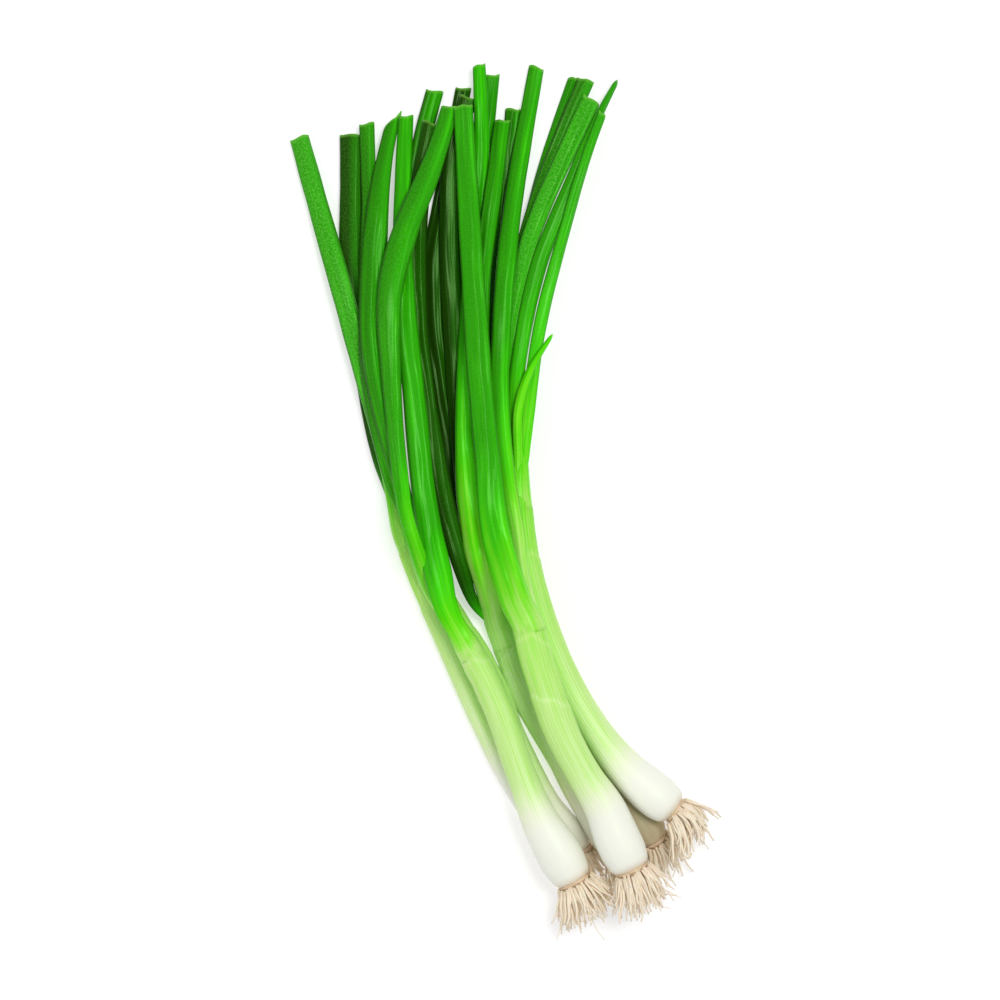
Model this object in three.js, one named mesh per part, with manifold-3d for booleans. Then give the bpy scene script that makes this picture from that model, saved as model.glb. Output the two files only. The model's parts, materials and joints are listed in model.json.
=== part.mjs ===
// A loose bunch of seven raw spring onions lying on a flat surface, in millimetres, +Z up.
// +Y runs from the roots to the cut leaf tips. The origin is the middle of the bunch's footprint.

import * as THREE from "three";
import { mergeVertices } from "three/addons/utils/BufferGeometryUtils.js";
import Module from "manifold-3d";

const wasm = await Module();
wasm.setup();

// How closely strands may lie, and the walls of the hollow leaves.
const LAYING_GAP = 0.45;
const SOCKET_GAP = 0.35;
const SOCKET_DEPTH = 9;
const LEAF_WALL = 0.7;
const BORE_DEPTH = 9;

// A shank that touches the surface is pressed flat by this much, and a leaf stays clear by this much.
const SHANK_PRESS = 0.25;
const LEAF_CLEARANCE = 0.1;

// Facets round a section, and the distance between two sections.
const SHANK_SIDES = 12;
const SHANK_STEP = 13;
const LEAF_SIDES = 8;
const LEAF_STEP = 15;
const ROOT_SIDES = 3;

// Flatness of a section: half height over half width.
const SHANK_FLATNESS = 0.96;
const LEAF_FLATNESS = 0.5;
const CUT_END_FLATNESS = 0.44;
const LEAST_HALF_HEIGHT = 1.25;

// A leaf leaves the sheath at its slot's width and opens to its own over this length.
const OPENING_LENGTH = 30;

// A bulb is widest a little way up from its root plate, and swells over about this length.
const BULB_CENTRE = 10;
const BULB_LENGTH = 21;
const ROOT_END_ROUNDING = 5;
const ROOT_PLATE_THICKNESS = 2.2;
const ROOT_PLATE_GAP = 0.3;

// Each onion: half widths of its root end, its bulb and its sheath at the neck, the number of its roots, its
// shank's route from root plate to mouth, and its leaves. A raised shank lies across others and stays straight. A
// leaf has a slot in the mouth (across, up, half width, half height), a route, and half widths along it.
// Routes are seen from above.
const ONIONS = {
  f: {
    rootEnd: 4.1, bulb: 4.9, neck: 4.1, roots: 6,
    shank: [[14, -121.5], [9, -114], [3.5, -105.5], [-4, -91], [-11, -76], [-17.5, -61],
      [-24.5, -45], [-31, -30], [-36, -17]],
    leaves: [
      { slot: [-1.7, -1.2, 1.4, 1.2], widths: [3.0, 4.2, 4.6, 4.5],
        route: [[-40, -4], [-44, 11], [-49, 34], [-52, 53], [-55, 72], [-57, 91], [-57, 114],
          [-57, 140]] },
      { slot: [0.6, 1.6, 2.2, 1.1], widths: [3.0, 4.0, 4.3, 3.7],
        route: [[-39, -3], [-44, 19], [-49, 38], [-54, 57], [-62, 86], [-70, 114], [-77, 139]] },
    ],
  },
  g: {
    rootEnd: 4.1, bulb: 4.9, neck: 4.0, roots: 6,
    shank: [[32, -133], [23.5, -120], [15.5, -106], [8.5, -91], [1.5, -77], [-6, -62],
      [-14.5, -48], [-22, -36], [-28.5, -26]],
    leaves: [
      { slot: [-1.9, -1.3, 1.2, 1.2], widths: [2.4, 2.8, 2.8, 3.0],
        route: [[-34, -12], [-40, 3], [-45, 20], [-49, 40], [-51, 60], [-51, 87], [-50, 108],
          [-51, 144]] },
      { slot: [-0.8, 1.7, 1.9, 1.0], widths: [2.6, 3.4, 5.2, 3.4],
        route: [[-34.5, -11], [-37.5, 8], [-39.5, 27], [-41, 46], [-42, 64], [-41, 82],
          [-34.3, 106], [-25.5, 128], [-19, 150]] },
      { slot: [1.6, -1.3, 1.3, 1.2], widths: [2.8, 3.5, 4.6, 2.6],
        route: [[-33, -10], [-38, 8], [-43, 27], [-47, 46], [-49, 62], [-49, 80], [-47.6, 104],
          [-44.5, 128], [-41, 146]] },
    ],
  },
  e: {
    raised: true, rootEnd: 5.0, bulb: 6.2, neck: 4.6, roots: 7,
    shank: [[44, -134], [36.5, -121], [29.5, -107], [22.5, -95], [16, -84], [10, -73], [5, -61],
      [2, -53]],
    leaves: [
      { slot: [-2.1, -1.8, 1.1, 1.2], widths: [2.4, 3.0, 3.4, 3.0],
        route: [[-8, -32], [-14, -10], [-19, 15], [-23, 42], [-26.2, 70], [-25.7, 97], [-21, 122],
          [-14, 158]] },
      { slot: [1.1, -1.9, 1.2, 1.2], widths: [2.6, 3.6, 4.2, 3.6],
        route: [[-6, -29], [-11, -11], [-14.5, 14], [-16.6, 44], [-18.2, 76], [-19.2, 104], [-18, 132],
          [-12, 154]] },
      { slot: [-2.1, 1.2, 1.1, 1.1], widths: [3.0, 3.8, 4.2, 3.6],
        route: [[-11, -37], [-16, -20], [-21, 0], [-26, 26], [-30, 53], [-32, 80], [-31, 112],
          [-26, 144]] },
      { slot: [1.1, 1.4, 1.5, 1.4], widths: [4.9, 4.2, 3.7, 2.5],
        route: [[-3.4, -36], [-8.2, -18], [-11.6, 2], [-13, 23], [-12, 61], [-10, 90], [-7, 137], [-8, 166]] },
    ],
  },
  d: {
    rootEnd: 5.8, bulb: 7.4, neck: 4.9, roots: 10,
    shank: [[59, -129], [50.5, -117], [40.5, -103], [31.5, -89], [24.5, -75], [17.5, -59],
      [11.5, -42], [6.5, -25], [2, -8], [0, 4]],
    leaves: [
      { slot: [-2.8, -1.2, 1.0, 1.1], widths: [2.5, 3.0, 3.2, 2.8],
        route: [[-6, 22], [-9, 48], [-10, 74], [-8, 105], [-6, 132], [-3, 163]] },
      { slot: [0, -2.5, 1.0, 1.0], widths: [2.3, 2.8, 3.3, 3.0],
        route: [[-1.5, 24], [-2.5, 50], [-1, 80], [2, 112], [5, 150]] },
      { slot: [2.8, -1.2, 1.0, 1.1], widths: [1.8, 1.8, 1.8, 1.8],
        route: [[3, 24], [3.5, 50], [5, 76], [11, 108], [19, 136], [28, 162]] },
      { slot: [-1.6, 1.7, 1.1, 1.1], widths: [2.4, 2.8, 3.2, 3.3],
        route: [[-3, 24], [-1, 52], [5, 80], [13, 110], [23, 137], [33, 161]] },
      { slot: [1.7, 1.7, 1.1, 1.1], widths: [2.4, 3.0, 3.5, 3.6],
        route: [[1.5, 24], [2.5, 52], [6, 78], [12, 101], [22, 125], [35, 153]] },
    ],
  },
  c: {
    raised: true, rootEnd: 6.6, bulb: 8.4, neck: 5.3, roots: 13,
    shank: [[66, -117], [57.5, -110.5], [48, -102], [38.5, -90], [29.5, -76], [21.5, -60],
      [14.5, -41], [9.5, -21], [7, 0]],
    leaves: [
      { slot: [-2.3, -1.0, 1.4, 1.5], widths: [2.6, 3.0, 3.1, 0.9], pointed: true,
        route: [[5.5, 18], [6, 42], [9, 64], [15, 90], [26, 118], [36, 143], [45, 161]] },
      { slot: [2.0, -1.4, 1.4, 1.4], widths: [2.6, 2.6, 2.3, 1.6],
        route: [[9.5, 20], [12, 45], [16, 70], [25, 104], [32, 128], [39, 147]] },
      { slot: [0.6, 2.8, 1.4, 1.0], widths: [1.7, 1.9, 1.8, 0.7], pointed: true,
        route: [[7, 14], [6.5, 30], [10, 46], [20, 63]] },
    ],
  },
  a: {
    raised: true, rootEnd: 8.0, bulb: 8.7, neck: 5.3, roots: 13,
    shank: [[28, -144], [23.5, -136], [18, -127], [12, -114], [5, -95], [-1, -78], [-7, -65], [-12, -56]],
    leaves: [
      { slot: [0, -2.3, 3.0, 1.3], widths: [3.4, 4.2, 4.6, 3.4],
        route: [[-18.5, -43], [-23.5, -21], [-28.5, 4], [-33, 49], [-34, 85], [-33, 114],
          [-30, 137], [-25, 157]] },
      { slot: [0, 1.7, 3.8, 1.6], widths: [5.7, 4.5, 4.1, 2.8],
        route: [[-19, -44], [-24.5, -22], [-29, 4], [-32, 34], [-36.5, 82], [-37, 120], [-36, 147]] },
    ],
  },
  b: {
    raised: true, rootEnd: 7.8, bulb: 8.7, neck: 6.0, roots: 13,
    shank: [[49.5, -138.5], [44.5, -128], [38, -113], [29, -99], [22, -82], [17, -67], [13, -54],
      [11, -46]],
    leaves: [
      { slot: [-2.5, -1.9, 1.8, 1.5], widths: [3.2, 3.4, 3.4, 3.1],
        route: [[6, -29], [0, -10], [-4, 15], [-7, 47], [-7, 82], [-2, 122], [1, 145]] },
      { slot: [2.5, -1.8, 1.8, 1.5], widths: [3.2, 3.5, 3.8, 3.0],
        route: [[9, -30], [6, -12], [2, 12], [0, 40], [1, 72], [5, 113], [14, 166]] },
      { slot: [-0.7, 2.2, 3.6, 1.6], widths: [4.7, 4.8, 4.5, 3.6],
        route: [[6, -33], [1, -16], [-4, 11], [-7, 38], [-10, 80], [-12, 114], [-14, 150]] },
    ],
  },
};

// The order in which the strands come to lie on each other, lowest first: a letter is a shank, and a letter
// with a number is one of its leaves.
const LAYING_ORDER = [
  "f", "g", "e", "d", "c",
  "f1", "f2", "g1", "g3", "e1", "e2", "d1", "d2", "d3", "d4", "d5", "c1", "c2", "c3",
  "a", "a1", "e3", "e4", "a2", "g2",
  "b", "b1", "b2", "b3",
];

const FINISHES = {
  shank: { color: 0xdcebb4, roughness: 0.45, metalness: 0 },
  leaf: { color: 0x3a9c1c, roughness: 0.4, metalness: 0 },
  roots: { color: 0xdcc8a6, roughness: 0.8, metalness: 0 },
};

// A repeatable random draw between 0 and 1.
function makeDraw(seed) {
  let state = seed;
  return () => {
    state = (state * 1664525 + 1013904223) % 4294967296;
    return state / 4294967296;
  };
}

// A value read off evenly spaced stops, at share 0 to 1 of the way.
function alongStops(stops, share) {
  const place = Math.min(Math.max(share, 0), 1) * (stops.length - 1);
  const first = Math.min(Math.floor(place), stops.length - 2);
  return THREE.MathUtils.lerp(stops[first], stops[first + 1], place - first);
}

// Points a given distance apart on a smooth curve through the route.
function walkRoute(route, step) {
  const curve = new THREE.CatmullRomCurve3(
    route.map(([x, y]) => new THREE.Vector3(x, y, 0)), false, "centripetal");
  curve.arcLengthDivisions = 400;
  const count = Math.max(2, Math.round(curve.getLength() / step));
  return curve.getSpacedPoints(count);
}

// A bulb's half width at a distance from its root plate: a bell on top of a neck that tapers slightly,
// rounded off where it meets the plate.
function shankHalfWidth(onion, distance) {
  const bell = Math.exp(-(((distance - BULB_CENTRE) / BULB_LENGTH) ** 2));
  const body = onion.neck + (onion.bulb - onion.neck) * bell;
  const rounding = Math.min(distance / ROOT_END_ROUNDING, 1);
  const endShare = onion.rootEnd / onion.bulb;
  const share = endShare + (1 - endShare) * Math.sqrt(rounding * (2 - rounding));
  return body * share;
}

// The strand of a shank: its stations from the root plate to the mouth.
function makeShankStrand(name, onion) {
  const ends = walkRoute(onion.shank, SHANK_STEP);
  const closeToPlate = walkRoute(onion.shank, 1);
  const nearRoot = [0, 2, 5].map((distance) => closeToPlate[distance]);
  const points = [...nearRoot, closeToPlate[10], ...ends.slice(1).filter(
    (point) => point.distanceTo(ends[0]) > 15)];
  let distance = 0;
  const stations = points.map((point, index) => {
    if (index > 0) {
      distance += point.distanceTo(points[index - 1]);
    }
    const halfWidth = shankHalfWidth(onion, distance);
    return { x: point.x, y: point.y, z: 0, halfWidth, halfHeight: halfWidth * SHANK_FLATNESS };
  });
  return { name, family: name, stations, held: 0, rest: -SHANK_PRESS, stiff: Boolean(onion.raised) };
}

// The strand of a leaf: three stations in and at its slot in the mouth, then those along its route.
function makeLeafStrand(name, family, leaf, shank) {
  const [across, up, slotHalfWidth, slotHalfHeight] = leaf.slot;
  const mouth = shank.stations[shank.stations.length - 1];
  const before = shank.stations[shank.stations.length - 2];
  const along = new THREE.Vector3(mouth.x - before.x, mouth.y - before.y, 0).normalize();
  const side = new THREE.Vector3(along.y, -along.x, 0);
  const centre = new THREE.Vector3(mouth.x, mouth.y, 0).addScaledVector(side, across);
  const inSlot = [-SOCKET_DEPTH, 0, 3].map((distance) => centre.clone().addScaledVector(along, distance));
  const slope = (mouth.z - before.z) / Math.hypot(mouth.x - before.x, mouth.y - before.y);
  const outside = walkRoute([[inSlot[2].x, inSlot[2].y], ...leaf.route], LEAF_STEP).slice(1);
  const stations = inSlot.map((point, index) => ({
    x: point.x, y: point.y, z: mouth.z + up + slope * [-SOCKET_DEPTH, 0, 3][index],
    halfWidth: slotHalfWidth, halfHeight: slotHalfHeight }));
  let distance = 0;
  const length = outside.length * LEAF_STEP;
  outside.forEach((point, index) => {
    distance += LEAF_STEP;
    const share = distance / length;
    const grown = THREE.MathUtils.smoothstep(distance, 0, OPENING_LENGTH);
    const fullWidth = alongStops(leaf.widths, share);
    const flatness = leaf.pointed ? LEAF_FLATNESS : THREE.MathUtils.lerp(
      LEAF_FLATNESS, CUT_END_FLATNESS, THREE.MathUtils.smoothstep(share, 0.8, 1));
    const fullHeight = Math.min(Math.max(fullWidth * flatness, LEAST_HALF_HEIGHT), fullWidth);
    stations.push({ x: point.x, y: point.y, z: 0,
      halfWidth: THREE.MathUtils.lerp(slotHalfWidth, fullWidth, grown),
      halfHeight: THREE.MathUtils.lerp(slotHalfHeight, fullHeight, grown) });
  });
  return { name, family, stations, held: 3, rest: LEAF_CLEARANCE, stiff: false, pointed: leaf.pointed };
}

// Points close together on the straight stretches between stations.
const FINE_STEPS = 8;
function finePoints(stations) {
  const points = [];
  let walked = 0;
  for (let index = 0; index < stations.length - 1; index += 1) {
    const first = stations[index];
    const second = stations[index + 1];
    const length = Math.hypot(second.x - first.x, second.y - first.y);
    for (let step = 0; step <= FINE_STEPS; step += 1) {
      const share = step / FINE_STEPS;
      const point = { index, share, walked: walked + share * length };
      ["x", "y", "z", "halfWidth", "halfHeight"].forEach((key) => {
        point[key] = THREE.MathUtils.lerp(first[key], second[key], share);
      });
      points.push(point);
    }
    walked += length;
  }
  return points;
}

// The lowest height at which a point of a strand clears everything that lies below it already.
function lowestHeight(point, strand, laid) {
  let height = point.halfHeight + strand.rest;
  for (const other of laid) {
    const reach = other.halfWidth + point.halfWidth + LAYING_GAP;
    const squared = ((other.x - point.x) ** 2 + (other.y - point.y) ** 2) / (reach * reach);
    if (squared < 1 && other.owner !== strand.family) {
      const thickness = other.halfHeight + point.halfHeight + LAYING_GAP;
      height = Math.max(height, other.z + thickness * Math.sqrt(1 - squared));
    }
  }
  return height;
}

// Lets a stiff shank down like a stick: it stays straight, at the slope that brings its middle lowest.
const STEEPEST_SLOPE = 0.3;
const SLOPE_TRIES = 301;
function layStraight(strand, laid) {
  const fine = finePoints(strand.stations);
  const lowest = fine.map((point) => lowestHeight(point, strand, laid));
  const middle = fine[fine.length - 1].walked / 2;
  let best = { height: Infinity };
  for (let attempt = 0; attempt < SLOPE_TRIES; attempt += 1) {
    const slope = THREE.MathUtils.lerp(-STEEPEST_SLOPE, STEEPEST_SLOPE, attempt / (SLOPE_TRIES - 1));
    const start = Math.max(...fine.map((point, index) => lowest[index] - slope * point.walked));
    if (start + slope * middle < best.height) {
      best = { height: start + slope * middle, start, slope };
    }
  }
  strand.stations.forEach((station, index) => {
    const walked = index === 0 ? 0 : fine[index * (FINE_STEPS + 1) - 1].walked;
    station.z = best.start + best.slope * walked;
  });
}

// Lets a strand that bends down on what lies below it, like a string that sags and never sinks in.
const SETTLING_ROUNDS = 900;
const SAG = 0.04;
const HELD_SHARE = 0.35;
function layBending(strand, laid) {
  const { stations, held } = strand;
  const fine = finePoints(stations).filter(
    (point) => held === 0 || point.index >= held || (point.index === held - 1 && point.share > HELD_SHARE));
  fine.forEach((point) => {
    point.lowest = lowestHeight(point, strand, laid);
  });
  for (let index = held; index < stations.length; index += 1) {
    stations[index].z = index > 0 ? stations[index - 1].z : stations[index].halfHeight;
  }
  for (let round = 0; round < SETTLING_ROUNDS; round += 1) {
    for (let index = held; index < stations.length; index += 1) {
      const here = stations[index];
      const before = stations[index - 1];
      const after = stations[index + 1];
      let level = here.z;
      if (before && after) {
        const gapBefore = Math.hypot(before.x - here.x, before.y - here.y);
        const gapAfter = Math.hypot(after.x - here.x, after.y - here.y);
        level = (before.z * gapAfter + after.z * gapBefore) / (gapBefore + gapAfter);
      }
      here.z = THREE.MathUtils.lerp(here.z, level, 0.5) - SAG;
    }
    fine.forEach((point) => {
      const first = stations[point.index];
      const second = stations[point.index + 1];
      const missing = point.lowest - THREE.MathUtils.lerp(first.z, second.z, point.share);
      if (missing > 0) {
        const weight = (1 - point.share) ** 2 + point.share ** 2;
        if (point.index >= held) {
          first.z += missing * (1 - point.share) / weight;
        }
        second.z += missing * point.share / weight;
      }
    });
  }
}

// The ring of points of one section, leaning with the strand.
function sectionRing(stations, index, sides, grow = 0) {
  const here = stations[index];
  const before = stations[Math.max(index - 1, 0)];
  const after = stations[Math.min(index + 1, stations.length - 1)];
  const along = new THREE.Vector3(after.x - before.x, after.y - before.y, after.z - before.z).normalize();
  const side = new THREE.Vector3(along.y, -along.x, 0).normalize();
  const up = side.clone().cross(along);
  return Array.from({ length: sides }, (_, corner) => {
    const angle = (corner + 0.5) * 2 * Math.PI / sides;
    const point = new THREE.Vector3(here.x, here.y, here.z)
      .addScaledVector(side, (here.halfWidth + grow) * Math.cos(angle))
      .addScaledVector(up, (here.halfHeight + grow) * Math.sin(angle));
    point.z = Math.max(point.z, 0);
    return point;
  });
}

// A closed skin over a row of rings, with a fan over each end.
function skinRings(rings) {
  const sides = rings[0].length;
  const points = rings.flat();
  const middle = (ring) => ring.reduce((sum, point) => sum.add(point), new THREE.Vector3())
    .divideScalar(sides);
  points.push(middle(rings[0]), middle(rings[rings.length - 1]));
  const firstFan = points.length - 2;
  const lastFan = points.length - 1;
  const faces = [];
  for (let corner = 0; corner < sides; corner += 1) {
    const next = (corner + 1) % sides;
    for (let ring = 0; ring < rings.length - 1; ring += 1) {
      const here = ring * sides;
      const there = here + sides;
      faces.push(here + corner, there + next, here + next, here + corner, there + corner, there + next);
    }
    const end = (rings.length - 1) * sides;
    faces.push(firstFan, corner, next, lastFan, end + next, end + corner);
  }
  const geometry = new THREE.BufferGeometry();
  geometry.setAttribute("position", new THREE.Float32BufferAttribute(
    points.flatMap((point) => [point.x, point.y, point.z]), 3));
  geometry.setIndex(faces);
  return geometry;
}

function toSolid(geometry) {
  const merged = mergeVertices(geometry, 1e-5);
  return new wasm.Manifold(new wasm.Mesh({ numProp: 3,
    vertProperties: new Float32Array(merged.attributes.position.array),
    triVerts: new Uint32Array(merged.index.array) }));
}

// The outermost skin of a solid, without any hollow that joining has sealed.
function outerSkin(solid) {
  const shells = solid.decompose();
  return shells.reduce((largest, shell) => (shell.volume() > largest.volume() ? shell : largest));
}

function fromSolid(solid) {
  const mesh = outerSkin(solid).getMesh();
  const geometry = new THREE.BufferGeometry();
  geometry.setAttribute("position", new THREE.BufferAttribute(new Float32Array(mesh.vertProperties), 3));
  geometry.setIndex(new THREE.BufferAttribute(new Uint32Array(mesh.triVerts), 1));
  return geometry;
}

// A leaf: a flattened tube, closed in the sheath, and hollow for a short way at its cut end.
function leafGeometry(strand) {
  const { stations } = strand;
  const rings = stations.map((_, index) => sectionRing(stations, index, LEAF_SIDES));
  if (!strand.pointed) {
    const last = stations.length - 1;
    const tip = stations[last];
    const before = stations[last - 1];
    const share = BORE_DEPTH / Math.hypot(tip.x - before.x, tip.y - before.y, tip.z - before.z);
    const deep = Object.fromEntries(["x", "y", "z"].map(
      (axis) => [axis, THREE.MathUtils.lerp(tip[axis], before[axis], share)]));
    deep.halfWidth = tip.halfWidth;
    deep.halfHeight = tip.halfHeight;
    const boreStations = [deep, tip];
    rings.push(sectionRing(boreStations, 1, LEAF_SIDES, -LEAF_WALL));
    rings.push(sectionRing(boreStations, 0, LEAF_SIDES, -LEAF_WALL));
  }
  return skinRings(rings);
}

// The socket of a leaf: its buried stretch, grown all round and made a little deeper.
function socketSolid(strand) {
  const [first, second, third] = strand.stations;
  const length = Math.hypot(second.x - first.x, second.y - first.y, second.z - first.z);
  const deeper = { ...first };
  ["x", "y", "z"].forEach((axis) => {
    deeper[axis] = first[axis] - (second[axis] - first[axis]) * SOCKET_GAP / length;
  });
  const stations = [deeper, second, third];
  const rings = stations.map((_, index) => sectionRing(stations, index, LEAF_SIDES, SOCKET_GAP));
  return toSolid(skinRings(rings));
}

function shankGeometry(strand, leafStrands) {
  const rings = strand.stations.map((_, index) => sectionRing(strand.stations, index, SHANK_SIDES));
  let solid = toSolid(skinRings(rings));
  leafStrands.forEach((leaf) => {
    solid = solid.subtract(socketSolid(leaf));
  });
  return fromSolid(solid);
}

// Roots of all onions that are made already, so that the next ones grow clear of them.
const grownRoots = [];
const ROOT_LENGTH = [10, 16];
const ROOT_HALF_WIDTH = 0.62;
const ROOT_TIP_HALF_WIDTH = 0.36;
const ROOT_STEPS = 4;
const ROOT_TRIES = 260;
const ROOT_CLEARANCE = 0.5;
const ROOT_SPREAD = 0.75;
const ROOT_CURL = 0.5;
const ROOT_WEIGHT = 0.28;

// Roots stand on the plate at the golden angle from each other, so that they spread evenly.
const ROOT_TURN = Math.PI * (3 - Math.sqrt(5));

function isClear(point, radius, name, strands) {
  for (const root of grownRoots) {
    if (root.name !== name && root.point.distanceTo(point) < radius + root.radius + ROOT_CLEARANCE) {
      return false;
    }
  }
  for (const strand of strands) {
    for (const near of strand.fine) {
      const spare = radius + ROOT_CLEARANCE;
      const flat = Math.hypot(near.x - point.x, near.y - point.y) / (near.halfWidth + spare);
      const high = (near.z - point.z) / (near.halfHeight + spare);
      if (flat * flat + high * high < 1) {
        return false;
      }
    }
  }
  return true;
}

// One root: it leaves the plate away from the bulb and outwards, curls at random and sags to the surface.
function growRoot(draw, origin, outwards, along) {
  const length = THREE.MathUtils.lerp(ROOT_LENGTH[0], ROOT_LENGTH[1], draw());
  const heading = along.clone().addScaledVector(outwards, ROOT_SPREAD * draw()).normalize();
  const curl = new THREE.Vector3(draw() - 0.5, draw() - 0.5, draw() - 0.5).multiplyScalar(ROOT_CURL);
  const point = origin.clone();
  const centres = [point.clone()];
  for (let step = 0; step < ROOT_STEPS; step += 1) {
    point.addScaledVector(heading, length / ROOT_STEPS);
    point.z = Math.max(point.z, ROOT_HALF_WIDTH + LEAF_CLEARANCE);
    centres.push(point.clone());
    heading.add(curl).add(new THREE.Vector3(0, 0, -ROOT_WEIGHT)).normalize();
  }
  return centres;
}

function rootsGeometry(name, onion, shank, strands) {
  const draw = makeDraw(1000 + name.charCodeAt(0) * 77);
  const first = shank.stations[0];
  const second = shank.stations[1];
  const plateTop = new THREE.Vector3(first.x, first.y, first.z);
  const along = new THREE.Vector3(first.x - second.x, first.y - second.y, first.z - second.z).normalize();
  const side = new THREE.Vector3(along.y, -along.x, 0).normalize();
  const up = side.clone().cross(along);
  const plateAt = (distance, share) => {
    const centre = plateTop.clone().addScaledVector(along, distance);
    return { x: centre.x, y: centre.y, z: centre.z,
      halfWidth: first.halfWidth * share, halfHeight: first.halfHeight * share };
  };
  const plate = [
    plateAt(ROOT_PLATE_GAP, 0.92),
    plateAt(ROOT_PLATE_GAP + ROOT_PLATE_THICKNESS * 0.5, 1),
    plateAt(ROOT_PLATE_GAP + ROOT_PLATE_THICKNESS, 0.7),
  ];
  let solid = toSolid(skinRings(plate.map((_, index) => sectionRing(plate, index, SHANK_SIDES))));
  const plateDepth = plateTop.clone().addScaledVector(along, ROOT_PLATE_GAP + ROOT_PLATE_THICKNESS * 0.5);
  let grown = 0;
  for (let attempt = 0; attempt < ROOT_TRIES && grown < onion.roots; attempt += 1) {
    const angle = attempt * ROOT_TURN;
    const ringShare = 0.15 + 0.6 * draw();
    const outwards = side.clone().multiplyScalar(Math.cos(angle)).addScaledVector(up, Math.sin(angle));
    const origin = plateDepth.clone().addScaledVector(outwards, first.halfWidth * ringShare);
    const centres = growRoot(draw, origin, outwards, along);
    const stations = centres.map((centre, index) => {
      const halfWidth = THREE.MathUtils.lerp(ROOT_HALF_WIDTH, ROOT_TIP_HALF_WIDTH, index / ROOT_STEPS);
      return { x: centre.x, y: centre.y, z: centre.z, halfWidth, halfHeight: halfWidth };
    });
    const fine = finePoints(stations);
    const others = strands.filter((strand) => strand.name !== name);
    const free = fine.every((near) => isClear(
      new THREE.Vector3(near.x, near.y, near.z), near.halfWidth, name, others));
    if (free && centres.every((centre) => centre.z >= ROOT_HALF_WIDTH)) {
      const rings = stations.map((_, index) => sectionRing(stations, index, ROOT_SIDES));
      solid = solid.add(toSolid(skinRings(rings)));
      fine.forEach((near) => grownRoots.push({ name,
        point: new THREE.Vector3(near.x, near.y, near.z), radius: near.halfWidth }));
      grown += 1;
    }
  }
  return fromSolid(solid);
}

// Lay every strand down in turn.
const strandsByName = {};
const laidPoints = [];
LAYING_ORDER.forEach((name) => {
  const onion = ONIONS[name[0]];
  const strand = name.length === 1
    ? makeShankStrand(name, onion)
    : makeLeafStrand(name, name[0], onion.leaves[Number(name[1]) - 1], strandsByName[name[0]]);
  if (strand.stiff) {
    layStraight(strand, laidPoints);
  } else {
    layBending(strand, laidPoints);
  }
  strand.fine = finePoints(strand.stations);
  strand.fine.forEach((point) => laidPoints.push({ ...point, owner: name }));
  strandsByName[name] = strand;
});

const bunch = new THREE.Group();
function addPiece(name, geometry, finish) {
  const piece = new THREE.Mesh(geometry, new THREE.MeshStandardMaterial(finish));
  piece.name = name;
  bunch.add(piece);
}

const allStrands = Object.values(strandsByName);
Object.entries(ONIONS).forEach(([letter, onion]) => {
  const shank = strandsByName[letter];
  const leaves = onion.leaves.map((_, index) => strandsByName[letter + (index + 1)]);
  addPiece(`onion_${letter}_shank`, shankGeometry(shank, leaves), FINISHES.shank);
  leaves.forEach((leaf, index) => {
    addPiece(`onion_${letter}_leaf_${index + 1}`, leafGeometry(leaf), FINISHES.leaf);
  });
  addPiece(`onion_${letter}_roots`, rootsGeometry(letter, onion, shank, allStrands), FINISHES.roots);
});

// The origin is the middle of the footprint, on the surface that the bunch lies on.
const footprint = new THREE.Box3().setFromObject(bunch).getCenter(new THREE.Vector3());
bunch.position.set(-footprint.x, -footprint.y, 0);
bunch.updateMatrixWorld(true);

export default bunch;
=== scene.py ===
# %% [markdown]
# # A bunch of spring onions
#
# Seven raw spring onions lie loosely on each other. Each has a white bulb that runs into a pale, ribbed
# shank, a tuft of dry roots, and a few long hollow leaves that were cut square at their tips.
#
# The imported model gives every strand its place. Here each strand is read from its own solid, section by
# section, and carried over into a smooth, finely shaped skin with its veins, cut ends and colours.

import json
import math

import bpy
import numpy as np
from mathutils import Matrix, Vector

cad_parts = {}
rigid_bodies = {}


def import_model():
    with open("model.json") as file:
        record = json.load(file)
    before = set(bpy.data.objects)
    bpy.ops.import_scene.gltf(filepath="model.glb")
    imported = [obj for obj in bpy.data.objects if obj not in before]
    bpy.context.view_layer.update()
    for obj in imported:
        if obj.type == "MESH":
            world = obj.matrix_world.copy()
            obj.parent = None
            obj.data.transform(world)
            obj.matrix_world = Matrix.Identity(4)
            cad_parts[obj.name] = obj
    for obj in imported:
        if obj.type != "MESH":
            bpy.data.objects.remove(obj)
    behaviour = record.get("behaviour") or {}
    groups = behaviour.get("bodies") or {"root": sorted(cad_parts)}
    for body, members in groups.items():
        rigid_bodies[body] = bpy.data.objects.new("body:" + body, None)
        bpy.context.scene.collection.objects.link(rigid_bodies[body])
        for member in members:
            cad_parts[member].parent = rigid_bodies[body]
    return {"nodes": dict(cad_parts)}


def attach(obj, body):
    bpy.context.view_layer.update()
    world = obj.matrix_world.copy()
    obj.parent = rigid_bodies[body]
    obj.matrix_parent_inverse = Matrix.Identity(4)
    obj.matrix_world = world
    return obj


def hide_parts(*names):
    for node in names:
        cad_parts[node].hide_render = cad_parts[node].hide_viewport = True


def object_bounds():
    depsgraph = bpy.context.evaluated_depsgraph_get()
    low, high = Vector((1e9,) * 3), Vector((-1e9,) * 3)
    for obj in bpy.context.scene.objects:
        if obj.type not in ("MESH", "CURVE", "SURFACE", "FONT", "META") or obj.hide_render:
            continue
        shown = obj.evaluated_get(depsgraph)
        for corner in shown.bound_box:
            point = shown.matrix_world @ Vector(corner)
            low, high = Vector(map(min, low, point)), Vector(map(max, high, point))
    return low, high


for leftover in list(bpy.data.objects):
    bpy.data.objects.remove(leftover)

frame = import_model()

MM = 0.001
cad_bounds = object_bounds()
print("nodes in the frame:", len(frame["nodes"]))

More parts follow.
